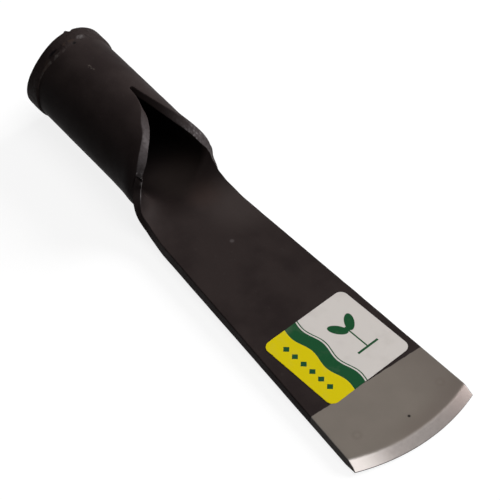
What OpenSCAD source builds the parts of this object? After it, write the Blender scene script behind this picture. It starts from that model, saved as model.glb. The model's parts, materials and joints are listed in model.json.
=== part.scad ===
// Socketed head of a digging bar, in millimetres.
// The axis of the socket runs along +X from the centre of its mouth, and the blade's face looks up.

/* [Socket] */
// Outside diameter of the socket tube
socket_od = 48; // [46:0.5:54]
// Bore that takes the pole
socket_bore = 40.4; // [36:0.2:42]
// Length of the closed tube, from its mouth to the point of the throat
socket_len = 54; // [40:1:70]

/* [Collar] */
// Width of the band round the mouth
collar_w = 11; // [6:0.5:20]
// Height of the band over the tube
collar_rise = 1.2; // [0.8:0.1:3]
// Rounding of the band's outer edges
collar_round = 0.7; // [0.2:0.1:0.7]
// Gap between the collar and the tube
collar_fit = 0.05; // [0.02:0.01:0.1]

/* [Throat] */
// Length of the lips, from the point of the throat to their steep front
throat_len = 42.2; // [36:0.2:54]
// Width of the slot at the point of the throat
slot_w = 2.6; // [2:0.2:6]
// Turn of the point from the top of the tube, in degrees
seam_turn = 15; // [0:1:20]
// Fullness of the left lip, from 1 for a straight line to 2 for an ellipse
left_fullness = 1.85; // [1:0.05:2.5]
// Fullness of the right lip
right_fullness = 1.35; // [1:0.05:2.5]
// How far the inside of the left lip reaches past its outside
left_bevel = 2.5; // [0:0.1:3]
// How far the inside of the right lip reaches past its outside
right_bevel = 3; // [0:0.1:4]
// Angle that the sheet still wraps at the steep front, from the middle of the floor, in degrees
front_wrap = 92; // [80:1:100]
// Length over which the lips run out into the sides of the blade
runout_len = 13; // [10:0.5:20]
// Straightness of that run-out, from 0 for a quarter ellipse to 1 for a straight line
runout_lean = 0.4; // [0:0.05:1]
// Length behind the point where the floor starts to rise
floor_start = 17; // [8:1:26]
// Length over which the floor rises to the blade
floor_len = 41.5; // [34:0.5:50]
// Length behind the point where the sheet starts to open out
open_start = 43; // [38:0.5:48]
// Length over which the sheet opens out flat
open_len = 26; // [20:0.5:40]

/* [Blade] */
// Length from the steep front of the lips to the middle of the edge
blade_len = 192.3; // [150:0.1:260]
// Depth of the blade's face below the axis
face_drop = 13.7; // [11:0.1:15]
// Thickness where the blade leaves the throat
neck_thick = 7.4; // [5.5:0.1:9]
// Thickness where the back is bevelled
tip_thick = 5.2; // [3.5:0.1:6]
// Width where the blade leaves the throat
neck_w = 50.2; // [46:0.1:56]
// Width at the corners of the edge
tip_w = 71.4; // [58:0.2:90]

/* [Edge] */
// Radius of the cutting edge, seen from above
edge_radius = 100; // [70:1:200]
// Depth of the edge below the face
edge_drop = 3.4; // [2:0.1:3.6]
// Thickness of the blunt edge
edge_land = 0.6; // [0.3:0.1:1]
// Width of the bevel on the face
face_bevel = 5.4; // [3:0.1:12]
// Width of the bevel on the back
back_bevel = 6; // [4:0.5:12]

/* [Label] */
// Length of the label along the blade
label_len = 47.6; // [30:0.2:60]
// Width of the label across the blade
label_w = 52; // [30:0.5:54]
// Radius of the label's corners
label_corner = 4; // [1:0.5:8]
// Thickness of the label
label_thick = 0.2; // [0.1:0.05:0.4]
// Distance from the label's centre to the middle of the edge
label_setback = 65.4; // [50:0.2:90]
// Distance of the label's centre from the centre line
label_shift = 2; // [-6:0.5:6]
// Turn of the label on the blade, in degrees
label_turn = 4.7; // [-8:0.1:8]

/* [Hidden] */
$fn = 96;

steel_black = "#2c2726";
collar_black = "#242020";
label_white = "#d9d0ca";

tube_r = socket_od / 2;
bore_r = socket_bore / 2;
wall = tube_r - bore_r;
lip_front_x = socket_len + throat_len;
side_x = lip_front_x + runout_len;
floor_x = socket_len + floor_start;
rise_end_x = floor_x + floor_len;
open_x = socket_len + open_start;
flat_x = open_x + open_len;
edge_x = lip_front_x + blade_len;
edge_cx = edge_x - edge_radius;
corner_x = edge_cx + sqrt(edge_radius ^ 2 - (tip_w / 2) ^ 2);
face_z = -face_drop;
neck_back_z = face_z - neck_thick;
slot_half_angle = asin(slot_w / 2 / tube_r);
front_s = arc_len(tube_r, front_wrap);

// The throat's ends lie a hair inside the tube and the blade, over these lengths
lap = 4;
lap_inset = 0.4;
side_inset = 0.1;

// Steps across the throat's sheet, down the lips, along their run-out and along the rest of the opening
across = 44;
lip_steps = 14;
runout_steps = 10;
open_steps = 5;

// Half the length over which the opening sets in, and the bend below which the sheet counts as flat
open_soft = 3;
flat_bend = 0.00001;

// Share of the sheet, from each lip, that leans with the lip's bevel
bevel_reach = 0.25;

// Where on the lips their bevels grow and fade: [start, full, fade, end]
left_bevel_span = [0, 0.3, 0.75, 1.2];
right_bevel_span = [0.1, 0.6, 1.2, 2];

// Where the right lip's bevel changes from a longer inside to a shorter outside
bevel_change = [0.5, 1.3];

// Step along the lips' curve that gives its direction
curve_step = 0.15;

// Extra size of what another shape trims
spare = 4;

function mix(a, b, t) = a + (b - a) * t;
function share(x, x0, x1) = max(0, min(1, (x - x0) / (x1 - x0)));
function ease(t) = t * t * (3 - 2 * t);
function arc_len(r, angle) = r * angle * PI / 180;
function arc_angle(r, len) = len / r * 180 / PI;

// Half width of the blade at x
function blade_half(x) = mix(neck_w, tip_w, (x - side_x) / (corner_x - side_x)) / 2;

// Height of the blade's back, a plane that thins the blade towards its edge
function blade_back(x) =
    neck_back_z + (neck_thick - tip_thick) * (x - flat_x) / (edge_x - back_bevel - flat_x);

// The throat's section at x is one arc that opens from the tube's own circle to the flat blade
function back_z(x) =
    x < flat_x ? mix(-tube_r, neck_back_z, ease(share(x, floor_x, rise_end_x))) : blade_back(x);
function thick(x) =
    x < flat_x ? mix(wall, neck_thick, ease(share(x, socket_len, rise_end_x))) : face_z - blade_back(x);
function soft_ramp(d) = d < -open_soft ? 0 : d > open_soft ? d : (d + open_soft) ^ 2 / (4 * open_soft);
function bend(x) = (1 - min(1, soft_ramp(x - open_x) / open_len)) ^ 2 / tube_r;

// A point of the sheet at length s from the middle of the floor, positive to the right, and at a depth
// inside its outer face
function sheet_point(x, s, depth) =
    let (k = bend(x), a = arc_angle(1, s * k))
    k < flat_bend ? [x, s, back_z(x) + depth]
    : [x, sin(a) / k - depth * sin(a), back_z(x) + (1 - cos(a)) / k + depth * cos(a)];

// Length along the sheet to a lip, at a share t of the throat's length and with the seam turned away from it
function lip_len(t, turn, fullness) =
    mix(front_s, arc_len(tube_r, 180 + turn - slot_half_angle), (1 - t ^ fullness) ^ (1 / fullness));

// The lips' curve, [x, length to the left lip, length to the right lip], with u from 0 at the point of
// the throat to 1 at the steep front and 2 where the blade's sides start
function lip_rise(t) = [
    socket_len + throat_len * t,
    lip_len(t, seam_turn, left_fullness),
    lip_len(t, -seam_turn, right_fullness),
];
function lip_runout(b) =
    let (x = lip_front_x + runout_len * mix(1 - cos(b), sin(b), runout_lean),
         s = blade_half(x) + (front_s - blade_half(lip_front_x)) * (1 - sin(b)))
    [x, s, s];
function lip_curve(u) = u <= 1 ? lip_rise(sin(90 * u)) : lip_runout(90 * (u - 1));

// How far the inside of a lip reaches past its outside, [along x, along the section]
function lip_bevel(u, side, size, span) =
    let (a = lip_curve(max(0, u - curve_step)), b = lip_curve(min(2, u + curve_step)),
         across_lip = [a[side] - b[side], b[0] - a[0]],
         reach = size * ease(share(u, span[0], span[1])) * (1 - ease(share(u, span[2], span[3]))))
    reach * across_lip / norm(across_lip);

// A station is [lips' place, left inside reach, right inside reach, right outside reach, inset]
function plain_station(lip, inset) = [lip, [0, 0], [0, 0], [0, 0], inset];
function lip_station(u) =
    let (right = lip_bevel(u, 2, right_bevel, right_bevel_span),
         change = ease(share(u, bevel_change[0], bevel_change[1])))
    [lip_curve(u), lip_bevel(u, 1, left_bevel, left_bevel_span), (1 - change) * right, -change * right, 0];
function blade_station(x, inset) = plain_station([x, blade_half(x), blade_half(x)], inset);

point_lip = lip_curve(0);
stations = [
    plain_station(point_lip - [lap, 0, 0], lap_inset),
    plain_station(point_lip + [1, 0, 0], 0),
    for (i = [1 : lip_steps]) lip_station(i / lip_steps),
    for (i = [1 : runout_steps]) lip_station(1 + i / runout_steps),
    for (i = [1 : open_steps]) blade_station(mix(side_x, flat_x, i / open_steps), 0),
    blade_station(flat_x + lap / 2, 0),
    blade_station(flat_x + 2 * lap, side_inset),
];

// The loop of one station: along the outside from the left lip to the right, and back along the inside
function left_pull(c) = max(0, 1 - c / bevel_reach);
function right_pull(c) = max(0, 1 - (1 - c) / bevel_reach);
function line_s(st, c) = mix(st[4] - st[0][1], st[0][2] - st[4], c);
function outer_point(st, c) =
    let (reach = right_pull(c) * st[3])
    sheet_point(st[0][0] + reach[0], line_s(st, c) + reach[1], st[4]);
function inner_point(st, c) =
    let (left = left_pull(c) * st[1], right = right_pull(c) * st[2], x = st[0][0] + left[0] + right[0])
    sheet_point(x, line_s(st, c) - left[1] + right[1], thick(x) - st[4]);
function station_loop(st) = [
    for (i = [0 : across]) outer_point(st, i / across),
    for (i = [across : -1 : 0]) inner_point(st, i / across),
];

// The sheet that opens from the tube into the blade
module throat() {
    ring = 2 * (across + 1);
    last = len(stations) - 1;
    sides = [
        for (k = [0 : last - 1], j = [0 : ring - 1])
            let (a = k * ring + j, b = k * ring + (j + 1) % ring)
            each [[a, a + ring, b + ring], [a, b + ring, b]],
    ];
    caps = [
        for (i = [0 : across - 1])
            let (a = i, b = i + 1, c = ring - 2 - i, d = ring - 1 - i, e = last * ring)
            each [[a, b, c], [a, c, d], [e + c, e + b, e + a], [e + d, e + c, e + a]],
    ];
    polyhedron([for (st = stations) each station_loop(st)], concat(sides, caps), convexity = 6);
}

// Lays a shape that stands on Z along the socket's axis
module along_axis() {
    rotate([0, 90, 0]) children();
}

module tube() {
    along_axis() difference() {
        cylinder(h = socket_len, r = tube_r);
        translate([0, 0, -spare]) cylinder(h = socket_len + 2 * spare, r = bore_r);
    }
}

// Plan of the blade, left long at the edge for the edge's own arc to cut
module blade_plan() {
    start_x = flat_x + lap;
    far_x = edge_x + spare;
    polygon([
        [start_x, -blade_half(start_x)], [far_x, -blade_half(far_x)],
        [far_x, blade_half(far_x)], [start_x, blade_half(start_x)],
    ]);
}

// Side of the blade, from its flat face to its thinning back
module blade_side() {
    polygon([
        [flat_x, face_z], [flat_x, blade_back(flat_x)],
        [edge_x + spare, blade_back(edge_x + spare)], [edge_x + spare, face_z],
    ]);
}

// Half section of the disc that rounds the edge and bevels it from both sides
module edge_section() {
    land_top = face_z - edge_drop + edge_land / 2;
    land_bottom = land_top - edge_land;
    face_slope = (face_z - land_top) / face_bevel;
    back_slope = (land_bottom - (face_z - tip_thick)) / back_bevel;
    polygon([
        [0, face_z + spare], [edge_radius - face_bevel - spare / face_slope, face_z + spare],
        [edge_radius, land_top], [edge_radius, land_bottom],
        [edge_radius - back_bevel - spare / back_slope, face_z - tip_thick - spare],
        [0, face_z - tip_thick - spare],
    ]);
}

// What is left of the blade by its edge: the disc, and all that lies behind the disc's centre
module edge_trim() {
    translate([edge_cx, 0, 0]) rotate_extrude($fn = 360) edge_section();
    translate([edge_cx - blade_len, -tip_w, neck_back_z - spare])
        cube([blade_len, 2 * tip_w, neck_thick + 2 * spare]);
}

module blade() {
    intersection() {
        translate([0, 0, neck_back_z - spare]) linear_extrude(neck_thick + 2 * spare) blade_plan();
        rotate([90, 0, 0]) linear_extrude(2 * tip_w, center = true) blade_side();
        edge_trim();
    }
}

module forged_head() {
    color(steel_black) union() {
        tube();
        throat();
        blade();
    }
}

// Half section of the collar: a flat band with rounded outer edges
module collar_section() {
    seat_r = tube_r + collar_fit;
    band_r = tube_r + collar_rise;
    round_r = band_r - collar_round;
    intersection() {
        translate([seat_r, 0]) square([collar_rise, collar_w]);
        union() {
            square([round_r, collar_w]);
            translate([0, collar_round]) square([band_r, collar_w - 2 * collar_round]);
            for (x = [collar_round, collar_w - collar_round]) translate([round_r, x]) circle(collar_round);
        }
    }
}

module socket_collar() {
    color(collar_black) along_axis() rotate_extrude() collar_section();
}

module label() {
    color(label_white) translate([edge_x - label_setback, label_shift, face_z])
        rotate(label_turn) linear_extrude(label_thick)
            hull() for (x = [-1, 1], y = [-1, 1])
                translate([x * (label_len / 2 - label_corner), y * (label_w / 2 - label_corner)])
                    circle(label_corner, $fn = 32);
}

forged_head();
socket_collar();
label();
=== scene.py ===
"""Looks of a socketed digging bar head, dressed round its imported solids.

Shapes are worked out in millimetres, in the part's own frame: +X from the socket's mouth to the
cutting edge, +Z out of the blade's face. The left side is that of -Y. Lengths become metres when a
mesh is made.
"""

import json
import math
from collections import namedtuple

import bmesh
import bpy
import numpy as np
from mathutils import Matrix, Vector, noise


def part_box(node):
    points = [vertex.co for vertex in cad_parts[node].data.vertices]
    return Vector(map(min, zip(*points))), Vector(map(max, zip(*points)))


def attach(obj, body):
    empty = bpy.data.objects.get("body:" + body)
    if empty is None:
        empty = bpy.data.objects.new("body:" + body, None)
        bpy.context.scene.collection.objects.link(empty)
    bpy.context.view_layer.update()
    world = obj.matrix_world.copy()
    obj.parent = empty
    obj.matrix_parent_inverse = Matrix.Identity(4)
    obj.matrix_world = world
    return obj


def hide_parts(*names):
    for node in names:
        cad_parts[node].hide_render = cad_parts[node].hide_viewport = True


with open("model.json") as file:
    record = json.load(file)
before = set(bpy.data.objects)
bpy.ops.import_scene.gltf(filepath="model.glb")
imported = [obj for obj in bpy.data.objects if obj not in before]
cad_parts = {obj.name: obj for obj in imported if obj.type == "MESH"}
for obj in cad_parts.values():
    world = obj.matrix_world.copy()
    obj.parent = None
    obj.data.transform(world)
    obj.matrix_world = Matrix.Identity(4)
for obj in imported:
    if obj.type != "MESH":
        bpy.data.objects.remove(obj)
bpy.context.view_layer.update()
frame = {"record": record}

MM = 0.001

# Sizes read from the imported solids
head_low, head_high = (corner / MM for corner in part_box("forged_head"))
_, collar_high = (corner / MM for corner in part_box("socket_collar"))
label_low, label_high = (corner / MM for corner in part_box("label"))
mounts = {mount["name"]: mount for mount in frame["record"]["mounts"]}
BORE_R = mounts["handle_socket"]["dims"]["r_mm"]
SOCKET_LEN = mounts["handle_socket"]["dims"]["length_mm"]
COLLAR_R = collar_high.z
FACE_Z = label_low.z
LABEL_TOP = label_high.z
LABEL_MIDDLE = (label_low + label_high) / 2
TIP_W = head_high.y - head_low.y
EDGE_X = head_high.x

# Sizes of the solids that their boxes don't give: socket, slot and lips
TUBE_R = 24
COLLAR_FIT = 0.05
THROAT_LEN = 42.2
SLOT_W = 2.6
SEAM_TURN = 15
LEFT_FULLNESS = 1.85
RIGHT_FULLNESS = 1.35
FRONT_WRAP = 92
RUNOUT_LEN = 13
RUNOUT_LEAN = 0.4

# The rise of the throat's floor and the opening of its section
FLOOR_START = 17
FLOOR_LEN = 41.5
OPEN_START = 43
OPEN_LEN = 26
OPEN_SOFT = 3
FLAT_BEND = 1e-7

# Blade and label
NECK_THICK = 7.4
TIP_THICK = 5.2
NECK_W = 50.2
EDGE_RADIUS = 100
EDGE_DROP = 3.4
EDGE_LAND = 0.6
FACE_BEVEL = 5.4
BACK_BEVEL = 6
LABEL_LEN = 47.6
LABEL_W = 52
LABEL_CORNER = 4
LABEL_TURN = 4.7

# Slant of the lips' faces. Places along the lips are given by u: 0 at the slot's point, 1 at their steep
# front, 2 at the blade's sides
LEFT_BEVEL = 2.5
RIGHT_BEVEL = 3
LEFT_BEVEL_SPAN = (0, 0.3, 0.75, 1.2)
RIGHT_BEVEL_SPAN = (0.1, 0.6, 1.2, 2)
BEVEL_CHANGE = (0.5, 1.3)
SIDE_REACH = 0.25
CURVE_STEP = 0.15

# The throat's own section: lips thinner than the solid's, and a floor that is full underneath.
# Here and below, a hump is (height, middle, reach)
LIP_THICK = 5.2
SWELL_START = 88
SWELL_POWER = 4
HEEL_START = 74
HEEL = (0.5, 92, 5)
UPRIGHT = 0.6
UPRIGHT_SPAN = (96, 106)

# Humps that bring the lips along u, and the neck along x, to where the photo has them
LIP_FLARE = (1.3, 1.25, 0.3)
LIP_TUCK = (1.3, 0.9, 0.14)
LIP_SPREAD = (1.0, 1.12, 0.14)
LIP_THIN = (0.5, 0.66, 0.22)
WORN_EDGE = (1.6, 0.36, 0.1)
NECK_SPREAD = (0.95, 107.2, 5.7)
NECK_TRIM = (1.05, 103, 2.6)

# The notch in the left lip, which slants from outside to inside
NOTCH_U = 0.875
NOTCH_SLANT = 0.035
NOTCH_DEPTH = 1.3
NOTCH_HALF = 0.016
NOTCH_REACH = 0.06

# Bareness of the lips' cut, with spans of u. Those named from the notch are counted from it
LEFT_CUT = 0.68
LEFT_CUT_START = (0.1, 0.6)
LEFT_CUT_END_FROM_NOTCH = (-0.014, -0.002)
RIGHT_CUT = 0.5
RIGHT_CUT_START = (0.1, 0.85)
RIGHT_CUT_END = (1.2, 1.5)
RIM_BEFORE_NOTCH = (0.9, -0.018, 0.012)
RIM_AFTER_NOTCH = (0.9, 0.025, 0.014)
# The left lip's bright inner edge: worn bare steel, brightened further as a painted highlight
BRIGHT_EDGE = 1.7
BRIGHT_EDGE_START_FROM_NOTCH = (0, 0.02)
BRIGHT_EDGE_END = (1.15, 1.45)
CHIPS = 1.1
CHIP_SIZE = 0.8
CHIP_SPAN = (0.1, 0.4)
LEFT_CHIPS = (1, NOTCH_U - 0.03, 0.03)
RIGHT_CHIPS = (1, 0.62, 0.17)

# Rounded edges, the softened crease of the bevel, hammer marks and the ground zone
EDGE_ROUND = 0.45
ROUND_SHARE = 0.3
CREASE = 0.9
GROUND_X = 247.5
HAMMER = 0.1
HAMMER_SIZE = 13
HAMMER_FINE = 0.5
HAMMER_FINER = 2.7
HAMMER_START = (12, 30)
HAMMER_END = (GROUND_X - 12, GROUND_X)

# The worn mouth and the band. Places round them are degrees from the top towards +Y
MOUTH_WORN = ((3.4, -52, 48), (0.5, 170, 50))
MOUTH_NOTCH = ((0.9, 10, 3), (-0.9, 5, 2.2))
MOUTH_WEAR_LEN = 20
MOUTH_ROUND = 0.7
BAND_LEN = 10.6
BAND_EDGE = ((1.3, -25, 18), (1.9, -95, 24), (-0.5, 42, 25))
BAND_HAMMER = ((0.16, 5), (0.09, 1.8))
BAND_SMOOTH = (0.8, 62, 32)
BAND_FLAT = (1, 32, 34)
BAND_RUNOUT = (0.9, 4.2)
BAND_RUNOUT_POWER = 2.5
SLOT_BLEND = 6

# Single marks on the band, as shapes and as tints. The flake is smooth: its depth is the share of the
# hammering that it takes away
BandMark = namedtuple("BandMark", "place reach depth tint_reach tint")
GOUGE = BandMark(place=(7.9, -26), reach=(0.8, 7), depth=0.5,
                 tint_reach=(1.1, 8), tint=(0.009, 0.007, 0.008))
BAND_PIT = BandMark(place=(10.4, 3), reach=(0.9, 2.2), depth=0.7,
                    tint_reach=(1.1, 3), tint=(0.008, 0.007, 0.007))
FLAKE = BandMark(place=(7.9, 15), reach=(1.6, 6), depth=1,
                 tint_reach=(1.5, 8), tint=(0.1, 0.09, 0.09))

# Mesh steps
ACROSS = 132
BRIDGE = 6
CORNER_STEPS = 4
LIP_FACE_STEPS = 6
BRIGHT_STEPS = 4
RIM_STEPS = 6
TUBE_ROWS = 44
LIP_ROWS = 64
RUNOUT_ROWS = 26
NOTCH_ROWS = 27
NOTCH_ROWS_SPAN = (NOTCH_U - 0.05, NOTCH_U + 0.08)
OPEN_ROWS = 14
BLADE_ROWS = 110
BEVEL_ROWS = 16
SETTLE_STEPS = 6
BAND_TURNS = 300
BAND_ROWS = 18
BAND_MOUTH_STEPS = 5
BAND_END_STEPS = 8
LABEL_CORNER_STEPS = 8
HEAD_SHARP = 24
PIECE_SHARP = 40

# Values that follow from those above
WALL = TUBE_R - BORE_R
LIP_FRONT_X = SOCKET_LEN + THROAT_LEN
SIDE_X = LIP_FRONT_X + RUNOUT_LEN
FLOOR_X = SOCKET_LEN + FLOOR_START
RISE_END_X = FLOOR_X + FLOOR_LEN
OPEN_X = SOCKET_LEN + OPEN_START
FLAT_X = OPEN_X + OPEN_LEN
EDGE_CX = EDGE_X - EDGE_RADIUS
CORNER_X = EDGE_CX + math.sqrt(EDGE_RADIUS ** 2 - (TIP_W / 2) ** 2)
NECK_BACK_Z = FACE_Z - NECK_THICK
BASE_Z = FACE_Z - LIP_THICK
LAND_TOP = FACE_Z - EDGE_DROP + EDGE_LAND / 2
LAND_BOTTOM = LAND_TOP - EDGE_LAND
SLOT_HALF = math.asin(SLOT_W / 2 / TUBE_R)
SEAM = math.radians(SEAM_TURN)
FRONT_S = TUBE_R * math.radians(FRONT_WRAP)
NOTCH_END = NOTCH_U + NOTCH_SLANT


def mix(a, b, t):
    return a + (b - a) * t


def share(x, x0, x1):
    return np.clip((x - x0) / (x1 - x0), 0, 1)


def ease(t):
    return t * t * (3 - 2 * t)


def hump(x, height, middle, reach):
    return height * np.exp(-((x - middle) / reach) ** 2)


# Blade and throat as functions of place

def blade_half(x):
    return mix(NECK_W, TIP_W, (x - SIDE_X) / (CORNER_X - SIDE_X)) / 2


def from_edge(x, y):
    """Distance in from the cutting edge, along its radius."""
    return np.where(x > EDGE_CX, EDGE_RADIUS - np.hypot(x - EDGE_CX, y), EDGE_RADIUS)


def face_at(x, y):
    """Height of the face, with a softened crease where the bevel starts."""
    d = FACE_BEVEL - from_edge(x, y)
    fall = np.where(d > CREASE, d, np.where(d > -CREASE, (d + CREASE) ** 2 / (4 * CREASE), 0))
    return FACE_Z - (FACE_Z - LAND_TOP) * fall / FACE_BEVEL


def back_at(x, y):
    """Height of the blade's back."""
    along = (x - FLAT_X) / (EDGE_X - BACK_BEVEL - FLAT_X)
    plane = NECK_BACK_Z + (NECK_THICK - TIP_THICK) * along
    bevel = mix(LAND_BOTTOM, FACE_Z - TIP_THICK, from_edge(x, y) / BACK_BEVEL)
    return np.where(from_edge(x, y) < BACK_BEVEL, np.maximum(plane, bevel), plane)


def base_at(x):
    """Height of the line under the floor that the section's arc is drawn from."""
    return mix(-TUBE_R, BASE_Z, ease(share(x, FLOOR_X, RISE_END_X)))


def inner_at(x, y):
    """Depth of the inner face above the base."""
    throat = mix(WALL, LIP_THICK, ease(share(x, SOCKET_LEN, RISE_END_X)))
    return np.where(x < FLAT_X, throat, face_at(x, y) - BASE_Z)


def outer_at(x, y, out):
    """Depth of the outer face, negative under the base. out is 0 at the floor and 1 at a lip."""
    lip = (BASE_Z - NECK_BACK_Z) * ease(share(x, SWELL_START, FLAT_X))
    under = mix(-TUBE_R, NECK_BACK_Z, ease(share(x, HEEL_START, FLAT_X)))
    floor = base_at(x) - under + hump(x, *HEEL)
    throat = mix(floor, lip, np.minimum(np.abs(out), 1) ** SWELL_POWER)
    return np.where(x < FLAT_X, -throat, back_at(x, y) - BASE_Z)


def bend_at(x):
    """Bend of the section: the tube's own, easing off to the flat blade."""
    d = x - OPEN_X
    soft = (d + OPEN_SOFT) ** 2 / (4 * OPEN_SOFT)
    ramp = np.where(d < -OPEN_SOFT, 0, np.where(d > OPEN_SOFT, d, soft))
    return np.maximum((1 - np.minimum(ramp / OPEN_LEN, 1)) ** 2 / TUBE_R, FLAT_BEND)


def sheet_point(x, s, depth):
    """Points of the sheet at length s from the middle of the floor and a depth above its base."""
    bend = bend_at(x)
    a = s * bend
    lean = 1 - UPRIGHT * ease(share(x, *UPRIGHT_SPAN))
    y = np.sin(a) / bend - depth * lean * np.sin(a)
    z = base_at(x) + 2 * np.sin(a / 2) ** 2 / bend + depth * np.cos(a)
    return np.stack([x, y, z], -1)


def lip_len(t, turn, fullness):
    top = TUBE_R * (math.pi + turn - SLOT_HALF)
    return mix(FRONT_S, top, (1 - t ** fullness) ** (1 / fullness))


def lip_curve(u):
    """Where the lips are: x, and the lengths along the section to the left lip and to the right."""
    if u <= 1:
        t = math.sin(math.pi / 2 * u)
        left = lip_len(t, SEAM, LEFT_FULLNESS)
        right = lip_len(t, -SEAM, RIGHT_FULLNESS)
        return np.array([SOCKET_LEN + THROAT_LEN * t, left, right])
    b = math.pi / 2 * (u - 1)
    x = LIP_FRONT_X + RUNOUT_LEN * mix(1 - math.cos(b), math.sin(b), RUNOUT_LEAN)
    s = blade_half(x) + (FRONT_S - blade_half(LIP_FRONT_X)) * (1 - math.sin(b))
    return np.array([x, s, s])


def lip_bevel(u, side, size, span):
    """How far the inside of a lip reaches past its outside, along x and along the section."""
    a = lip_curve(max(0, u - CURVE_STEP))
    b = lip_curve(min(2, u + CURVE_STEP))
    across = np.array([a[side] - b[side], b[0] - a[0]])
    reach = size * ease(share(u, span[0], span[1])) * (1 - ease(share(u, span[2], span[3])))
    return reach * across / np.linalg.norm(across)


def rim(angle):
    """How far the worn mouth lies inside a square cut."""
    worn = sum(hump(angle, *part) for part in MOUTH_WORN)
    notch = sum(hump(angle, *part) for part in MOUTH_NOTCH)
    return worn + np.maximum(notch, -worn)


def turn_of(y, z):
    return np.degrees(np.arctan2(y, z))


# The forging's mesh: rows along the head, each with an outer line, an inner line and two lip profiles

def row_columns(left, right, thick, rounding):
    """Points of one row, as length along the section, depth, and share across from left to right.

    They run along the outer line, round the right lip, back along the inner line and round the left lip.
    """
    c = np.linspace(0, 1, ACROSS + 1)
    turn = np.linspace(0, math.pi / 2, CORNER_STEPS + 1)[1:]
    face = np.linspace(rounding, thick - rounding, LIP_FACE_STEPS + 1)[1:]
    line = mix(rounding - left, right - rounding, c)
    out, back = rounding * np.sin(turn), rounding * np.cos(turn)
    lip_s = np.concatenate([out, np.full(LIP_FACE_STEPS, rounding), back])[:-1]
    lip_d = np.concatenate([rounding * (1 - np.cos(turn)), face, thick - rounding + out])[:-1]
    s = np.concatenate([line, right - rounding + lip_s, line[::-1], rounding - left - lip_s[::-1]])
    d = np.concatenate([np.zeros(ACROSS + 1), lip_d, np.full(ACROSS + 1, thick), lip_d[::-1]])
    shares = np.concatenate([c, np.ones(len(lip_s)), c[::-1], np.zeros(len(lip_s))])
    return s, d, shares


# Indices of a row's points. Each lip's run has the ends of both lines, the left one from inside to
# outside and the right one from outside to inside
LIP_POINTS = 2 * CORNER_STEPS + LIP_FACE_STEPS - 1
OUTER = np.arange(ACROSS + 1)
RIGHT_LIP = np.arange(ACROSS, ACROSS + LIP_POINTS + 2)
INNER = np.arange(ACROSS + LIP_POINTS + 1, 2 * ACROSS + LIP_POINTS + 2)
LEFT_LIP = np.append(np.arange(2 * ACROSS + LIP_POINTS + 1, 2 * ACROSS + 2 * LIP_POINTS + 2), 0)
LOOP = 2 * (ACROSS + 1) + 2 * LIP_POINTS


def near_side(c, reach=SIDE_REACH):
    """1 at the side of a row where c is 0, falling to 0 at a share of its width."""
    return np.maximum(0, 1 - c / reach)


def neck_shift(x, c):
    """How far the neck's sides lie left of the solid's: the left one fuller, the right one slimmer."""
    return hump(x, *NECK_SPREAD) * near_side(c) + hump(x, *NECK_TRIM) * near_side(1 - c)


def tube_row(x):
    """A closed row of the tube, with the columns of the first lip row."""
    _, left, right = lip_curve(0)
    s, d, _ = row_columns(left, right, WALL, EDGE_ROUND)
    points = sheet_point(np.full(LOOP, float(SOCKET_LEN)), s, d)
    worn = rim(turn_of(points[:, 1], points[:, 2]))
    points[:, 0] = x + worn * (1 - ease(share(x, 0, MOUTH_WEAR_LEN)))
    return points


def lip_row(u):
    """A row of the throat between its two lips."""
    x, left, right = lip_curve(u)
    thick = float(inner_at(x, 0) - outer_at(x, 0, 1))
    s, d, c = row_columns(left, right, thick, EDGE_ROUND)
    inside = d / thick
    out = np.where(s < 0, s / left, s / right)
    near_left, near_right = near_side(c), near_side(1 - c)
    left_pull = near_left * inside
    change = ease(share(u, *BEVEL_CHANGE))
    right_pull = near_right * (inside * (1 - change) - (1 - inside) * change)
    on_left = lip_bevel(u, 1, LEFT_BEVEL, LEFT_BEVEL_SPAN)
    on_right = lip_bevel(u, 2, RIGHT_BEVEL, RIGHT_BEVEL_SPAN)
    notch = hump(u, NOTCH_DEPTH, NOTCH_U + NOTCH_SLANT * inside, NOTCH_HALF) * near_side(c, NOTCH_REACH)
    thin = hump(u, *LIP_THIN) * near_left ** 2
    xs = x + left_pull * on_left[0] + right_pull * on_right[0] - notch
    depth = mix(outer_at(xs, 0, out) + thin, inner_at(xs, 0) - thin, inside)
    s = s - left_pull * on_left[1] + right_pull * on_right[1]
    s += hump(u, *LIP_FLARE) * near_right * (1 - inside)
    s += hump(u, *WORN_EDGE) * near_left * (1 - inside)
    points = sheet_point(xs, s, depth)
    points[:, 1] += hump(u, *LIP_TUCK) * near_left
    points[:, 1] += hump(u, *LIP_SPREAD) * near_right
    points[:, 1] -= neck_shift(points[:, 0], c)
    return points


def lip_cut(u, points):
    """How bare the points of a lip row are: 0 under lacquer, 1 bare, and more on the left lip's worn inner
    edge, whose brightness is partly a painted highlight.
    """
    cut = np.zeros(LOOP)
    inside = np.linspace(1, 0, LIP_POINTS)
    from_notch = u - (NOTCH_U + NOTCH_SLANT * inside)
    left = LEFT_CUT * ease(share(u, *LEFT_CUT_START))
    left = left * (1 - ease(share(from_notch, *LEFT_CUT_END_FROM_NOTCH)))
    right = RIGHT_CUT * ease(share(u, *RIGHT_CUT_START)) * (1 - ease(share(u, *RIGHT_CUT_END)))
    cut[LEFT_LIP[1:-1]] = left + hump(from_notch, *RIM_BEFORE_NOTCH) * inside
    cut[RIGHT_LIP[1:-1]] = right
    cut[LEFT_LIP[1:RIM_STEPS]] += hump(u - NOTCH_END, *RIM_AFTER_NOTCH)
    bright = share(u - NOTCH_END, *BRIGHT_EDGE_START_FROM_NOTCH) * (1 - ease(share(u, *BRIGHT_EDGE_END)))
    # Worn inner edge of the left lip, partly a painted highlight
    cut[LEFT_LIP[:BRIGHT_STEPS]] += BRIGHT_EDGE * bright
    for lip, chipped in ((LEFT_LIP, hump(u, *LEFT_CHIPS)), (RIGHT_LIP, hump(u, *RIGHT_CHIPS))):
        for j in lip[1:-1]:
            speck = noise.noise(Vector(points[j]) / CHIP_SIZE)
            cut[j] += CHIPS * chipped * share(speck, *CHIP_SPAN)
    return cut


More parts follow.
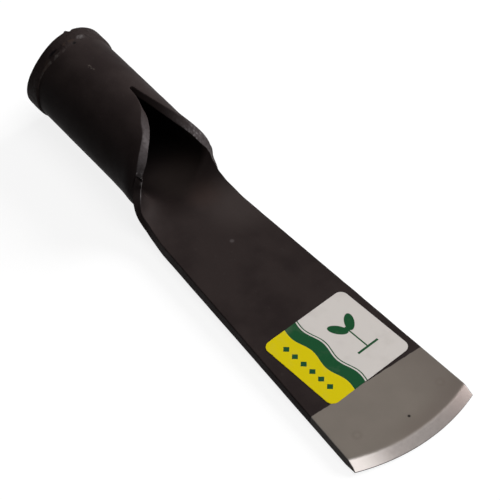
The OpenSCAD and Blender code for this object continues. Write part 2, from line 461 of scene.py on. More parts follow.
def blade_row(x_of):
    """A row across the blade, whose x comes from y."""
    half = TIP_W / 2
    for _ in range(SETTLE_STEPS):
        half = blade_half(float(x_of(half)))
    x_side = x_of(half)
    thick = float(inner_at(x_side, half) - outer_at(x_side, half, 1))
    s, d, c = row_columns(half, half, thick, min(EDGE_ROUND, ROUND_SHARE * thick))
    x = x_of(s)
    points = sheet_point(x, s, mix(outer_at(x, s, s / half), inner_at(x, s), d / thick))
    points[:, 1] -= neck_shift(x, c)
    return points


def arc_x(radius):
    return lambda y: EDGE_CX + np.sqrt(radius ** 2 - np.asarray(y) ** 2)


def blade_rows():
    bevel_start = FACE_BEVEL + CREASE
    start_arc = arc_x(EDGE_RADIUS - bevel_start)
    for x in np.linspace(SIDE_X, FLAT_X, OPEN_ROWS + 1)[1:]:
        yield blade_row(lambda y, x=x: np.full(np.shape(y), x))
    for v in np.linspace(0, 1, BLADE_ROWS + 1)[1:]:
        yield blade_row(lambda y, v=v: mix(FLAT_X, start_arc(y), v))
    for d in np.linspace(bevel_start, 0, BEVEL_ROWS + 1)[1:]:
        yield blade_row(arc_x(EDGE_RADIUS - d))


def strip(faces, low, high):
    """Quads between two rows of indices."""
    faces.extend(zip(low[:-1], low[1:], high[1:], high[:-1]))


def head_mesh():
    """Points, faces, and two marks for each point: the lips' bare cut, and the inner or upper face."""
    even = [*np.linspace(0, 1, LIP_ROWS + 1), *np.linspace(1, 2, RUNOUT_ROWS + 1)]
    rises = np.unique([*even, *np.linspace(*NOTCH_ROWS_SPAN, NOTCH_ROWS)])
    rows = [tube_row(x) for x in np.linspace(0, SOCKET_LEN, TUBE_ROWS + 1)[:-1]]
    apex = len(rows)
    rows += [lip_row(u) for u in rises]
    rows += list(blade_rows())
    points = np.concatenate(rows)
    upper = np.zeros((len(rows), LOOP))
    upper[:, INNER] = 1
    cut = np.zeros((len(rows), LOOP))
    for k, u in enumerate(rises, apex):
        cut[k] = lip_cut(u, rows[k])
    faces = []
    for k in range(len(rows) - 1):
        low, high = k * LOOP, (k + 1) * LOOP
        strip(faces, low + OUTER, high + OUTER)
        strip(faces, low + INNER, high + INNER)
        if k >= apex:
            strip(faces, low + RIGHT_LIP, high + RIGHT_LIP)
            strip(faces, low + LEFT_LIP, high + LEFT_LIP)
    strip(faces, OUTER, INNER[::-1])
    end = (len(rows) - 1) * LOOP
    strip(faces, end + OUTER, end + INNER[::-1])
    faces.append(tuple(end + RIGHT_LIP))
    faces.append(tuple(end + LEFT_LIP))
    added, bridge_faces = bridge(points, apex)
    unmarked = np.zeros(len(added))
    marks = {"cut": np.append(cut, unmarked), "upper": np.append(upper, unmarked)}
    return np.concatenate([points, added]), faces + bridge_faces, marks


def bridge(points, apex):
    """Closes the tube over the seam, and ends the slot in a round."""
    first = len(points)
    added, faces = [], []
    grids = {"outer": [], "inner": []}
    ends = {"outer": (OUTER[-1], OUTER[0], 0.0), "inner": (INNER[0], INNER[-1], WALL)}
    steps = np.linspace(-1, 1, BRIDGE + 1)[1:-1]
    for name, (start, stop, depth) in ends.items():
        for k in range(apex + 1):
            a, b = points[k * LOOP + start], points[k * LOOP + stop]
            grid = [k * LOOP + start]
            for v in steps:
                p = mix(a, b, (v + 1) / 2)
                p[1:] *= (TUBE_R - depth) / np.hypot(p[1], p[2])
                p[0] -= slot_round(v, 0) * ease(share(p[0], SOCKET_LEN - SLOT_BLEND, SOCKET_LEN))
                grid.append(first + len(added))
                added.append(p)
            grids[name].append(np.array(grid + [k * LOOP + stop]))
        for low, high in zip(grids[name][:-1], grids[name][1:]):
            strip(faces, low, high)
    strip(faces, grids["outer"][0], grids["inner"][0])
    rows = [grids["outer"][apex]]
    for right_i, left_i in zip(RIGHT_LIP[1:-1], LEFT_LIP[::-1][1:-1]):
        a, b = points[apex * LOOP + right_i], points[apex * LOOP + left_i]
        depth = TUBE_R - np.hypot(a[1], a[2])
        grid = [apex * LOOP + right_i]
        for v in steps:
            p = mix(a, b, (v + 1) / 2)
            p[0] -= slot_round(v, min(depth, WALL - depth))
            grid.append(first + len(added))
            added.append(p)
        rows.append(np.array(grid + [apex * LOOP + left_i]))
    rows.append(grids["inner"][apex])
    for low, high in zip(rows[:-1], rows[1:]):
        strip(faces, low, high)
    return np.array(added), faces


def slot_round(v, depth):
    """How far the slot's end lies behind a flat one, v across the slot, with its rims rounded."""
    lip = EDGE_ROUND - math.sqrt(max(0, EDGE_ROUND ** 2 - max(0, EDGE_ROUND - depth) ** 2))
    return SLOT_W / 2 * math.sqrt(max(0, 1 - v * v)) + lip * (1 - v * v)


def hammer_marks(points):
    """Shallow unevenness of the forging, none at the mouth, on the ground zone and at the edge."""
    x = points[:, 0]
    reach = HAMMER * ease(share(x, *HAMMER_START)) * (1 - ease(share(x, *HAMMER_END)))
    lift = np.empty(len(points))
    for k, point in enumerate(points):
        p = Vector(point) / HAMMER_SIZE
        lift[k] = noise.noise(p) + HAMMER_FINE * noise.noise(p * HAMMER_FINER)
    return points + np.stack([0 * x, reach * lift * np.sign(points[:, 1]), reach * lift], -1)


def mesh_object(name, points, faces, sharp_deg, marks=None):
    """A closed mesh in metres, with outward normals, smooth but for edges sharper than sharp_deg."""
    mesh = bpy.data.meshes.new(name)
    mesh.from_pydata((np.asarray(points) * MM).tolist(), [], [tuple(int(i) for i in f) for f in faces])
    for mark, values in (marks or {}).items():
        layer = mesh.attributes.new(mark, "FLOAT", "POINT")
        layer.data.foreach_set("value", np.asarray(values, dtype=np.float32))
    bm = bmesh.new()
    bm.from_mesh(mesh)
    bmesh.ops.delete(bm, geom=[v for v in bm.verts if not v.link_faces], context="VERTS")
    bmesh.ops.recalc_face_normals(bm, faces=bm.faces)
    bm.to_mesh(mesh)
    bm.free()
    mesh.shade_smooth()
    mesh.set_sharp_from_angle(angle=math.radians(sharp_deg))
    made = bpy.data.objects.new(name, mesh)
    bpy.context.scene.collection.objects.link(made)
    return made


def make_head():
    points, faces, marks = head_mesh()
    return mesh_object("head_forging", hammer_marks(points), faces, HEAD_SHARP, marks)


# The collar: a hammered band with a worn mouth and an uneven lower edge

def band_end(angle):
    return BAND_LEN + sum(hump(angle, *part) for part in BAND_EDGE)


def mark_depth(x, angle, mark):
    along = hump(x, mark.depth, mark.place[0], mark.reach[0])
    return along * hump(angle, 1, mark.place[1], mark.reach[1])


def band_dent(x, angle):
    """Depth of the band's hammer marks, of one gouge and of one pit beside a flake."""
    a = math.radians(angle)
    p = Vector((x, TUBE_R * math.sin(a), TUBE_R * math.cos(a)))
    rough = sum(depth * (1 + noise.noise(p / size)) for depth, size in BAND_HAMMER)
    rough *= (1 - mark_depth(x, angle, FLAKE)) * (1 - hump(angle, *BAND_SMOOTH))
    return rough + mark_depth(x, angle, GOUGE) + mark_depth(x, angle, BAND_PIT)


def band_ring(angle):
    """The band's section at an angle, as x and radius, without its dents."""
    seat = TUBE_R + COLLAR_FIT
    start = float(rim(angle))
    end = float(band_end(angle))
    flat = float(hump(angle, *BAND_FLAT))
    runout = mix(*BAND_RUNOUT, flat)
    ring = [(start, seat)]
    for t in np.linspace(0, math.pi / 2, BAND_MOUTH_STEPS + 1):
        ring.append((start + MOUTH_ROUND * (1 - math.cos(t)), COLLAR_R - MOUTH_ROUND * (1 - math.sin(t))))
    for c in np.linspace(0, 1, BAND_ROWS + 1)[1:]:
        ring.append((mix(start + MOUTH_ROUND, end - runout, c), COLLAR_R))
    for c in np.linspace(0, 1, BAND_END_STEPS + 1)[1:]:
        fall = mix(c ** BAND_RUNOUT_POWER, ease(c), flat)
        ring.append((end - runout * (1 - c), seat + (COLLAR_R - seat) * (1 - fall)))
    return ring


def make_collar():
    seat = TUBE_R + COLLAR_FIT
    points, faces = [], []
    for angle in np.linspace(-180, 180, BAND_TURNS + 1)[:-1]:
        a = math.radians(angle)
        for x, r in band_ring(angle):
            r -= band_dent(x, angle) * (r - seat) / (COLLAR_R - seat)
            points.append((x, max(r, seat) * math.sin(a), max(r, seat) * math.cos(a)))
    ring = len(points) // BAND_TURNS
    for k in range(BAND_TURNS):
        low, high = k * ring, (k + 1) % BAND_TURNS * ring
        for j in range(ring):
            after = (j + 1) % ring
            faces.append((low + j, low + after, high + after, high + j))
    return mesh_object("mouth_collar", points, faces, PIECE_SHARP)


# The label: a thin sheet with round corners, whose UVs run along and across the blade

def make_label():
    outline = []
    for cx, cy, start in ((1, 1, 0), (-1, 1, 90), (-1, -1, 180), (1, -1, 270)):
        for a in np.radians(np.linspace(start, start + 90, LABEL_CORNER_STEPS + 1)):
            outline.append((cx * (LABEL_LEN / 2 - LABEL_CORNER) + LABEL_CORNER * math.cos(a),
                            cy * (LABEL_W / 2 - LABEL_CORNER) + LABEL_CORNER * math.sin(a)))
    count = len(outline)
    c, s = math.cos(math.radians(LABEL_TURN)), math.sin(math.radians(LABEL_TURN))
    points = [(LABEL_MIDDLE.x + c * p - s * q, LABEL_MIDDLE.y + s * p + c * q, z)
              for z in (FACE_Z, LABEL_TOP) for p, q in outline]
    faces = [tuple(range(count))[::-1], tuple(range(count, 2 * count))]
    faces += [(j, (j + 1) % count, count + (j + 1) % count, count + j) for j in range(count)]
    made = mesh_object("paper_label", points, faces, PIECE_SHARP)
    uv = made.data.uv_layers.new(name="print")
    for loop in made.data.loops:
        p, q = outline[loop.vertex_index % count]
        uv.data[loop.index].uv = (p / LABEL_LEN + 0.5, q / LABEL_W + 0.5)
    return made


# Materials
GRAIN_ROUGH = 0.55
PATCH_FADE = (0.2, 1.0)


class Net:
    """A node material, built by short calls."""

    def __init__(self, name):
        self.material = bpy.data.materials.new(name)
        self.material.use_nodes = True
        self.nodes = self.material.node_tree.nodes
        self.links = self.material.node_tree.links
        self.shader = self.nodes["Principled BSDF"]

    def put(self, socket, value):
        if isinstance(value, bpy.types.NodeSocket):
            self.links.new(value, socket)
        elif isinstance(value, (tuple, list)) and len(value) == 3 and socket.type == "RGBA":
            socket.default_value = (*value, 1)
        else:
            socket.default_value = value

    def node(self, kind, inputs, out=0, **settings):
        made = self.nodes.new(kind)
        for key, value in settings.items():
            setattr(made, key, value)
        for key, value in inputs.items():
            self.put(made.inputs[key], value)
        return made.outputs[out]

    def math(self, operation, a, b=0.0):
        return self.node("ShaderNodeMath", {0: a, 1: b}, operation=operation)

    def plus(self, a, b):
        return self.math("ADD", a, b)

    def minus(self, a, b):
        return self.math("SUBTRACT", a, b)

    def larger(self, a, b):
        return self.math("MAXIMUM", a, b)

    def invert(self, value):
        return self.minus(1.0, value)

    def times(self, *values):
        total = values[0]
        for value in values[1:]:
            total = self.math("MULTIPLY", total, value)
        return total

    def square_sum(self, a, b):
        return self.plus(self.times(a, a), self.times(b, b))

    def step(self, value, low, high):
        """0 at low and 1 at high, smooth between."""
        return self.node("ShaderNodeMapRange", {0: value, 1: low, 2: high}, interpolation_type="SMOOTHSTEP")

    def blend(self, fac, a, b):
        return self.node("ShaderNodeMix", {0: fac, 6: a, 7: b}, out=2, data_type="RGBA")

    def blend_value(self, fac, a, b):
        return self.node("ShaderNodeMix", {0: fac, 2: a, 3: b}, out=0, data_type="FLOAT")

    def millimetres(self):
        place = self.node("ShaderNodeTexCoord", {}, out="Object")
        return self.node("ShaderNodeVectorMath", {0: place, 3: 1 / MM}, operation="SCALE")

    def parts(self, vector):
        made = self.nodes.new("ShaderNodeSeparateXYZ")
        self.links.new(vector, made.inputs[0])
        return made.outputs

    def mark(self, name):
        return self.node("ShaderNodeAttribute", {}, out="Fac", attribute_name=name)

    def stretched(self, vector, scale):
        return self.node("ShaderNodeVectorMath", {0: vector, 1: scale}, operation="MULTIPLY")

    def grain(self, vector, size, detail=3.0):
        """Noise between 0 and 1, with a grain of about a size in the vector's units."""
        inputs = {"Vector": vector, "Scale": 1 / size, "Detail": detail, "Roughness": GRAIN_ROUGH}
        return self.node("ShaderNodeTexNoise", inputs)

    def specks(self, vector, size, low, high, detail=3.0):
        """1 where a grain is above high, 0 where it is below low."""
        return self.step(self.grain(vector, size, detail), low, high)

    def spot(self, x, y, place, radius, soft):
        """1 within a radius of a place on the blade, fading over a soft edge."""
        dx, dy = self.minus(x, place[0]), self.minus(y, place[1])
        far = self.math("SQRT", self.square_sum(dx, dy))
        return self.invert(self.step(far, radius, radius + soft))

    def patch(self, x, angle, place, reach):
        """1 at a place on the socket's round, given by x and angle, fading out over a reach in each."""
        dx = self.times(self.minus(x, place[0]), 1 / reach[0])
        da = self.times(self.minus(angle, place[1]), 1 / reach[1])
        return self.invert(self.step(self.square_sum(dx, da), *PATCH_FADE))

    def turn(self, y, z):
        """Angle about the socket's axis from the top towards +Y, in degrees."""
        return self.times(self.math("ARCTAN2", y, z), 180 / math.pi)

    def bump(self, height, distance):
        """Relief of a height, whose full range is a distance in millimetres."""
        normal = self.node("ShaderNodeBump", {"Height": height, "Distance": distance * MM})
        self.put(self.shader.inputs["Normal"], normal)

    def finish(self, **inputs):
        for key, value in inputs.items():
            self.put(self.shader.inputs[key.replace("_", " ").title().replace("Ior", "IOR")], value)
        return self.material


# Lacquer and bare steel. Two values of a roughness are the ends that a grain goes between
LACQUER_DARK = (0.022, 0.0162, 0.0158)
LACQUER_WARM = (0.030, 0.0225, 0.0215)
LACQUER_SPECK = (0.06, 0.05, 0.047)
SPECK_AMOUNT = 0.12
LACQUER_ROUGH = (0.5, 0.66)
LACQUER_SHINE = 0.02
LACQUER_RELIEF = 0.06
UPPER_SPAN = (0.8, 0.95)
# Forge scale inside the socket, also used as painted shade in the socket's hollow and on the throat's floor
SCALE_AND_PAINTED_SHADE = (0.006, 0.005, 0.005)
CUT_STEEL = (0.085, 0.076, 0.078)
CUT_SHOWN = (0.55, 1.0)
CUT_METAL = 0.5
WORN_STEEL_WITH_HIGHLIGHT = (0.2, 0.185, 0.185)
BARE_SIDE = (0.15, 0.136, 0.128)

# The ground zone and the bevel. A side is a span of y over which a colour comes in
GROUND_DARK = (0.2, 0.174, 0.15)
GROUND_PALE = (0.237, 0.206, 0.178)
GROUND_BROWN = (0.16, 0.13, 0.112)
BROWN_FROM_CREASE = (-13, -1)
BROWN_SIDE = (-22, 6)
BROWN_AMOUNT = 0.55
# Painted shade: the ground zone darker towards its right side
GROUND_PAINTED_SHADE = (0.145, 0.12, 0.107)
DIM_SIDE = (6, 36)
DIM_AMOUNT = 0.45
GROUND_STAIN = (0.125, 0.095, 0.077)
STAIN_AMOUNT = 0.3
GROUND_PIT = (0.02, 0.017, 0.016)
BEVEL_DARK = (0.18, 0.162, 0.152)
BEVEL_PALE = (0.25, 0.225, 0.213)
# Painted highlight: the bevel paler towards its left end, where the top lamp's reflection lies
BEVEL_PAINTED_HIGHLIGHT = (0.49, 0.453, 0.433)
BEVEL_BRIGHT_SIDE = (-12, -36)
# Painted shade: the bevel darker towards its right side
BEVEL_PAINTED_SHADE = (0.14, 0.115, 0.107)
BEVEL_DIM_SIDE = (4, 30)
BEVEL_DIM_AMOUNT = 0.85
STAINS = ((268.7, 26.8), (268.3, -23.2))
PIT = (274.7, 2.6)
ZONE_WANDER = 0.9
ZONE_SOFT = 0.25
LAND_FROM_EDGE = (-0.5, -0.2)
GRIND_STRETCH = (0.04, 1.6, 1.0)
GRIND_RELIEF = 0.4
GROUND_ROUGH = (0.5, 0.6)
BEVEL_ROUGH = 0.38
GROUND_METAL = 0.35
BEVEL_METAL = 0.8

# Other colours of the lacquer: forge scale inside the socket, which also paints the shade of its hollow,
# places on the round of the tube by x and angle, and places on the face by x and y
SCALE_AND_SHADE_SPAN = (58, 80)
Patch = namedtuple("Patch", "place reach amount colour")
# Painted shade: the lacquer darker on the socket's left side, where the light falls off
TUBE_PAINTED_SHADE = Patch(place=(52, -85), reach=(75, 50), amount=0.55, colour=(0.0095, 0.008, 0.0082))
SCRATCH = Patch(place=(30, -5), reach=(4, 3), amount=0.6, colour=(0.1, 0.085, 0.075))
Spot = namedtuple("Spot", "place radius soft amount colour")
FACE_SPOTS = {
    # Painted light: a lighter patch on the throat's floor, where the lips' shadow falls
    "rubbed floor": Spot(place=(88, 8), radius=4, soft=14, amount=0.8, colour=(0.048, 0.0365, 0.033)),
    # A darker patch on the throat's floor
    "dulled floor": Spot(place=(102, -7), radius=2, soft=15, amount=0.7, colour=(0.0125, 0.0088, 0.0083)),
    # Worn lacquer and a painted sheen: lighter at the right side of the neck
    "worn neck": Spot(place=(122, 21), radius=3, soft=22, amount=0.9, colour=(0.046, 0.036, 0.034)),
    "red neck": Spot(place=(107, 11), radius=2, soft=11, amount=0.4, colour=(0.052, 0.034, 0.029)),
    "dimple": Spot(place=(140.1, 3.2), radius=0.5, soft=1.1, amount=0.35, colour=(0.13, 0.115, 0.115)),
}

# The band's own lacquer, with a worn lap line and rust on it
BAND_SCALE = (0.013, 0.0095, 0.009)
BAND_SCALE_AMOUNT = 0.4
BAND_SCALE_RELIEF = 0.8
BAND_RELIEF = 0.18
FLAKE_AMOUNT = 0.8
LAP = Patch(place=(11.0, -38), reach=(1.1, 30), amount=0.8, colour=(0.07, 0.061, 0.057))
RUST_COLOUR = (0.043, 0.03, 0.025)
RUST_LEFT = Patch(place=(9.9, -44), reach=(2.2, 14), amount=0.8, colour=RUST_COLOUR)
RUST_TOP = Patch(place=(8.5, -3), reach=(1.6, 10), amount=0.8, colour=RUST_COLOUR)


def lacquer(net, mm):
    """Colour and roughness of the thin dark lacquer, blotched and slightly brown."""
    blotch = net.specks(mm, size=24, low=0.35, high=0.68)
    specks = net.specks(mm, size=2.6, low=0.62, high=0.78, detail=2)
    colour = net.blend(blotch, LACQUER_DARK, LACQUER_WARM)
    colour = net.blend(net.times(specks, SPECK_AMOUNT), colour, LACQUER_SPECK)
    rough = net.blend_value(net.grain(mm, size=7), *LACQUER_ROUGH)
    return colour, rough


def aged_lacquer(net, mm, upper):
    """The head's lacquer, with forge scale and painted shade inside, painted shade on the socket's left
    side, a scratch, and spots on the face, among them painted light on the throat's floor and a painted
    sheen at the neck.
    """
    x, y, z = net.parts(mm)
    angle = net.turn(y, z)
    colour, rough = lacquer(net, mm)
    # Dark forge scale inside, also painted shade of the hollow, fading out along the throat's floor
    scale = net.times(net.invert(net.step(x, *SCALE_AND_SHADE_SPAN)), upper)
    colour = net.blend(scale, colour, SCALE_AND_PAINTED_SHADE)
    # Painted shade on the socket's left side
    shade = net.patch(x, angle, TUBE_PAINTED_SHADE.place, TUBE_PAINTED_SHADE.reach)
    colour = net.blend(net.times(shade, TUBE_PAINTED_SHADE.amount), colour, TUBE_PAINTED_SHADE.colour)
    broken = net.specks(mm, size=0.9, low=0.5, high=0.62)
    scratch = net.times(net.patch(x, angle, SCRATCH.place, SCRATCH.reach), broken)
    colour = net.blend(net.times(scratch, SCRATCH.amount), colour, SCRATCH.colour)
    for spot in FACE_SPOTS.values():
        shown = net.times(net.spot(x, y, spot.place, spot.radius, spot.soft), upper)
        colour = net.blend(net.times(shown, spot.amount), colour, spot.colour)
    return colour, rough


def ground_steel(net, mm, radius, bevel):
    """Colour of the ground zone, clouded and browned, with painted shade on its right side, and of the
    bevel at its end, with a painted highlight towards its left end and painted shade towards its right.
    """
    x, y, _ = net.parts(mm)
    clouds = net.grain(mm, size=11)
    steel = net.blend(clouds, GROUND_DARK, GROUND_PALE)
    from_crease = net.minus(radius, EDGE_RADIUS - FACE_BEVEL)
    browned = net.times(net.step(from_crease, *BROWN_FROM_CREASE), net.step(y, *BROWN_SIDE))
    steel = net.blend(net.times(browned, BROWN_AMOUNT), steel, GROUND_BROWN)
    # Painted shade towards the ground zone's right side
    steel = net.blend(net.times(net.step(y, *DIM_SIDE), DIM_AMOUNT), steel, GROUND_PAINTED_SHADE)
    for stain in STAINS:
        middle = net.spot(x, y, stain, radius=0.4, soft=1.4)
        ring = net.times(net.spot(x, y, stain, radius=1.8, soft=1.6), net.invert(middle))
        steel = net.blend(net.times(ring, clouds, STAIN_AMOUNT), steel, GROUND_STAIN)
    steel = net.blend(net.spot(x, y, PIT, radius=0.3, soft=0.8), steel, GROUND_PIT)
    edge = net.blend(net.grain(mm, size=2.2), BEVEL_DARK, BEVEL_PALE)
    # Painted highlight towards the bevel's left end
    edge = net.blend(net.step(y, *BEVEL_BRIGHT_SIDE), edge, BEVEL_PAINTED_HIGHLIGHT)
    # Painted shade towards the bevel's right side
    edge = net.blend(net.times(net.step(y, *BEVEL_DIM_SIDE), BEVEL_DIM_AMOUNT), edge, BEVEL_PAINTED_SHADE)
    return net.blend(bevel, steel, edge)


def head_material():
    net = Net("lacquered_steel")
    mm = net.millimetres()
    x, y, _ = net.parts(mm)
    upper = net.step(net.mark("upper"), *UPPER_SPAN)
    colour, rough = aged_lacquer(net, mm, upper)

    cut = net.mark("cut")
    chips = net.specks(mm, size=1.6, low=0.3, high=0.62)
    bare = net.times(cut, net.blend_value(chips, *CUT_SHOWN))
    colour = net.blend(bare, colour, CUT_STEEL)
    # Bright steel on the worn edge, partly a painted highlight
    colour = net.blend(net.step(cut, 1.0, BRIGHT_EDGE), colour, WORN_STEEL_WITH_HIGHLIGHT)

    radius = net.math("SQRT", net.square_sum(net.minus(x, EDGE_CX), y))
    wander = net.times(net.minus(net.grain(mm, size=3.5), 0.5), ZONE_WANDER)
    zone = net.step(net.plus(x, wander), GROUND_X - ZONE_SOFT, GROUND_X + ZONE_SOFT)
    off_land = net.invert(net.step(net.minus(radius, EDGE_RADIUS), *LAND_FROM_EDGE))
    colour = net.blend(net.times(zone, off_land), colour, BARE_SIDE)
    ground = net.times(zone, upper)
    crease = EDGE_RADIUS - FACE_BEVEL
    bevel = net.step(net.plus(radius, wander), crease - CREASE, crease + CREASE)
    colour = net.blend(ground, colour, ground_steel(net, mm, radius, bevel))
    lines = net.grain(net.stretched(mm, GRIND_STRETCH), size=1.0)
    satin = net.blend_value(bevel, net.blend_value(lines, *GROUND_ROUGH), BEVEL_ROUGH)
    rough = net.blend_value(ground, rough, satin)

    grit = net.times(net.grain(mm, size=1.1), net.invert(ground))
    net.bump(net.plus(grit, net.times(lines, ground, GRIND_RELIEF)), LACQUER_RELIEF)
    shiny = net.times(ground, net.blend_value(bevel, GROUND_METAL, BEVEL_METAL))
    metallic = net.larger(shiny, net.times(bare, CUT_METAL))
    return net.finish(base_color=colour, roughness=rough, metallic=metallic,
                      specular_ior_level=LACQUER_SHINE)


def collar_material():
    net = Net("lacquered_band")
    mm = net.millimetres()
    x, y, z = net.parts(mm)
    angle = net.turn(y, z)
    colour, rough = lacquer(net, mm)
    scale = net.specks(mm, size=3.2, low=0.52, high=0.66)
    colour = net.blend(net.times(scale, BAND_SCALE_AMOUNT), colour, BAND_SCALE)
    worn = net.specks(mm, size=3, low=0.35, high=0.5)
    lap = net.times(net.patch(x, angle, LAP.place, LAP.reach), worn)
    colour = net.blend(net.times(lap, LAP.amount), colour, LAP.colour)
    broken = net.specks(mm, size=3, low=0.42, high=0.6)
    for rust in (RUST_LEFT, RUST_TOP):
        shown = net.times(net.patch(x, angle, rust.place, rust.reach), broken)
        colour = net.blend(net.times(shown, rust.amount), colour, rust.colour)
    for mark in (GOUGE, BAND_PIT):
        colour = net.blend(net.patch(x, angle, mark.place, mark.tint_reach), colour, mark.tint)
    torn = net.specks(mm, size=1.4, low=0.35, high=0.6)
    flake = net.times(net.patch(x, angle, FLAKE.place, FLAKE.tint_reach), torn)
    colour = net.blend(net.times(flake, FLAKE_AMOUNT), colour, FLAKE.tint)
    net.bump(net.plus(net.grain(mm, size=1.3), net.times(scale, BAND_SCALE_RELIEF)), BAND_RELIEF)
    return net.finish(base_color=colour, roughness=rough, specular_ior_level=LACQUER_SHINE)


# The label's print, in millimetres along and over the label
PRINT_WHITE = (0.62, 0.58, 0.55)
PRINT_GREEN = (0.012, 0.075, 0.028)
PRINT_YELLOW = (0.65, 0.53, 0.004)
PRINT_SOIL = (0.3, 0.26, 0.23)
SOIL_AMOUNT = 0.12
PAPER_ROUGH = (0.5, 0.6)
PAPER_SHINE = 0.04
PAPER_RELIEF = 0.03
PRINT_SOFT = 0.05
PANEL_W = 14.5
WAVE_W = 7
LINE_GAP = 0.8
LINE_W = 0.6
WAVE_HEIGHT = 1.1
WAVE_LEN = LABEL_LEN / 2
DIAMOND_STEP = LABEL_LEN / 8
DIAMOND_OVER = 7.2
DIAMOND_EDGE = (1.9, 2.1)
SPROUT_OVER = 37
STEM_HALF = 0.4
STEM_SPAN = (18, 33)
GROUND_LINE = (33, 34.2)
GROUND_LINE_HALF = 6.5
LEAF_ALONG = 17
LEAF_OUT = 3.8
LEAF_HALF_LEN = 5.2
LEAF_HALF_W = 2.5
LEAF_LEAN = 35
LEAF_EDGE = (0.96, 1.06)


def label_material():
    """A plain printed label: yellow side panel with diamonds, green wave, and a sprout on a white field."""
    net = Net("printed_paper")
    u, v, _ = net.parts(net.node("ShaderNodeUVMap", {}, uv_map="print"))
    along, over = net.times(u, LABEL_LEN), net.times(v, LABEL_W)

    def below(value, high):
        return net.invert(net.step(value, high - PRINT_SOFT, high + PRINT_SOFT))

    def bar(value, low, high):
        return net.times(net.step(value, low - PRINT_SOFT, low + PRINT_SOFT), below(value, high))

    def leaf(side):
        lean = math.radians(-side * LEAF_LEAN)
        c, s = math.cos(lean), math.sin(lean)
        a, b = net.minus(along, LEAF_ALONG), net.minus(over, SPROUT_OVER + side * LEAF_OUT)
        p = net.plus(net.times(a, c / LEAF_HALF_LEN), net.times(b, s / LEAF_HALF_LEN))
        q = net.plus(net.times(a, -s / LEAF_HALF_W), net.times(b, c / LEAF_HALF_W))
        return net.invert(net.step(net.square_sum(p, q), *LEAF_EDGE))

    wave = net.times(net.math("SINE", net.times(along, 2 * math.pi / WAVE_LEN)), WAVE_HEIGHT)
    shifted = net.plus(over, wave)
    wave_end = PANEL_W + WAVE_W
    line_at = wave_end + LINE_GAP
    colour = net.blend(below(shifted, PANEL_W), PRINT_WHITE, PRINT_YELLOW)
    colour = net.blend(bar(shifted, PANEL_W, wave_end), colour, PRINT_GREEN)
    colour = net.blend(bar(shifted, line_at, line_at + LINE_W), colour, PRINT_GREEN)

    from_stem = net.minus(over, SPROUT_OVER)
    stem = net.times(bar(from_stem, -STEM_HALF, STEM_HALF), bar(along, *STEM_SPAN))
    line = net.times(bar(from_stem, -GROUND_LINE_HALF, GROUND_LINE_HALF), bar(along, *GROUND_LINE))
    sprout = net.larger(net.larger(stem, line), net.larger(leaf(-1), leaf(1)))
    colour = net.blend(sprout, colour, PRINT_GREEN)

    repeat = net.math("FRACT", net.times(along, 1 / DIAMOND_STEP))
    from_middle = net.times(net.math("ABSOLUTE", net.minus(repeat, 0.5)), DIAMOND_STEP)
    diamond = net.plus(from_middle, net.math("ABSOLUTE", net.minus(over, DIAMOND_OVER)))
    row = bar(along, DIAMOND_STEP, LABEL_LEN - DIAMOND_STEP)
    colour = net.blend(net.times(row, net.invert(net.step(diamond, *DIAMOND_EDGE))), colour, PRINT_GREEN)

    mm = net.millimetres()
    soiled = net.specks(mm, size=9, low=0.5, high=0.8)
    colour = net.blend(net.times(soiled, SOIL_AMOUNT), colour, PRINT_SOIL)
    net.bump(net.grain(mm, size=2.5, detail=2), PAPER_RELIEF)
    rough = net.blend_value(net.grain(mm, size=5), *PAPER_ROUGH)
    return net.finish(base_color=colour, roughness=rough, specular_ior_level=PAPER_SHINE)


# The pieces, each with its body, the solid that it stands for and its material

def place(piece, node, slot, material):
    piece.data.materials.append(material)
    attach(piece, "root")
    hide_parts(node)


place(make_head(), "forged_head", "forged_head", head_material())
place(make_collar(), "socket_collar", "socket_collar", collar_material())
place(make_label(), "label", "label", label_material())


# Floor, light and camera
STAGE_HALF = 8000
STAGE_DARK = (0.19, 0.19, 0.19)
STAGE_PALE = (0.21, 0.21, 0.21)
STAGE_GRAIN = 400
STAGE_GLOW = 0.85
HEEL_STEPS = 400
WORLD_TINT = (1, 0.985, 0.97)
WORLD_LIGHT = 0.05

# The camera is fitted to the photograph
AIM = Vector((159.57, -0.65, 0)) * MM
AZIMUTH = math.radians(52.2)
ELEVATION = math.radians(49.2)
DISTANCE = 0.9876
LENS = 147.2
SENSOR = 36


def floor_material():
    """A pale grey floor that looks white to the camera, in mirrors and through glass."""
    net = Net("pale_floor")
    path = net.nodes.new("ShaderNodeLightPath")
    seen = path.outputs["Is Camera Ray"]
    for name in ("Is Glossy Ray", "Is Transmission Ray"):
        seen = net.larger(seen, path.outputs[name])
    grey = net.blend(net.grain(net.millimetres(), STAGE_GRAIN), STAGE_DARK, STAGE_PALE)
    return net.finish(base_color=grey, roughness=0.9, specular_ior_level=0.0,
                      emission_color=(1, 1, 1), emission_strength=net.times(seen, STAGE_GLOW))


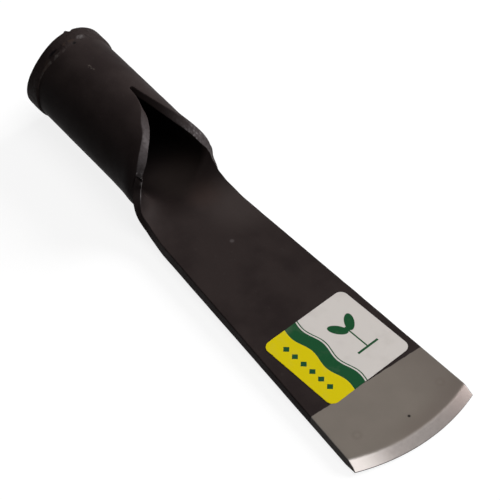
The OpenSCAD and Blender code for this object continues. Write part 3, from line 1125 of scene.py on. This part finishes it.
def make_floor():
    """A plane that touches the heel of the socket and the blade's back near its edge."""
    tip_x, tip_z = EDGE_X - BACK_BEVEL, FACE_Z - TIP_THICK
    heel_x = np.linspace(0, RISE_END_X, HEEL_STEPS)
    heel_z = base_at(heel_x) + outer_at(heel_x, 0, 0)
    slope = float(np.max((tip_z - heel_z) / (tip_x - heel_x)))
    corners = [(STAGE_HALF * x, STAGE_HALF * y) for x, y in ((-1, -1), (1, -1), (1, 1), (-1, 1))]
    points = [(tip_x + x, y, tip_z - HAMMER + slope * x) for x, y in corners]
    mesh = bpy.data.meshes.new("floor")
    mesh.from_pydata((np.array(points) * MM).tolist(), [], [(0, 1, 2, 3)])
    floor = bpy.data.objects.new("floor", mesh)
    bpy.context.scene.collection.objects.link(floor)
    mesh.materials.append(floor_material())


def make_world():
    world = bpy.data.worlds.new("studio")
    world.use_nodes = True
    back = world.node_tree.nodes["Background"]
    back.inputs["Color"].default_value = (*WORLD_TINT, 1)
    back.inputs["Strength"].default_value = WORLD_LIGHT
    bpy.context.scene.world = world


def make_camera():
    level = math.cos(ELEVATION)
    back = Vector((math.sin(AZIMUTH) * level, -math.cos(AZIMUTH) * level, math.sin(ELEVATION)))
    data = bpy.data.cameras.new("camera")
    data.lens = LENS
    data.sensor_width = SENSOR
    camera = bpy.data.objects.new("camera", data)
    camera.location = AIM + back * DISTANCE
    camera.rotation_mode = "QUATERNION"
    camera.rotation_quaternion = back.to_track_quat("Z", "Y")
    bpy.context.scene.collection.objects.link(camera)
    bpy.context.scene.camera = camera


def make_sun(name, direction, strength, angle_deg):
    data = bpy.data.lights.new(name, "SUN")
    data.energy = strength
    data.angle = math.radians(angle_deg)
    lamp = bpy.data.objects.new(name, data)
    lamp.rotation_mode = "QUATERNION"
    lamp.rotation_quaternion = Vector(direction).to_track_quat("Z", "Y")
    bpy.context.scene.collection.objects.link(lamp)


make_floor()
make_world()
make_camera()
make_sun("key", direction=(0.1, 0.87, 0.48), strength=3.55, angle_deg=35)
make_sun("top", direction=(0.42, 0.1, 0.9), strength=1.15, angle_deg=38)
bpy.context.scene.view_settings.view_transform = "Standard"
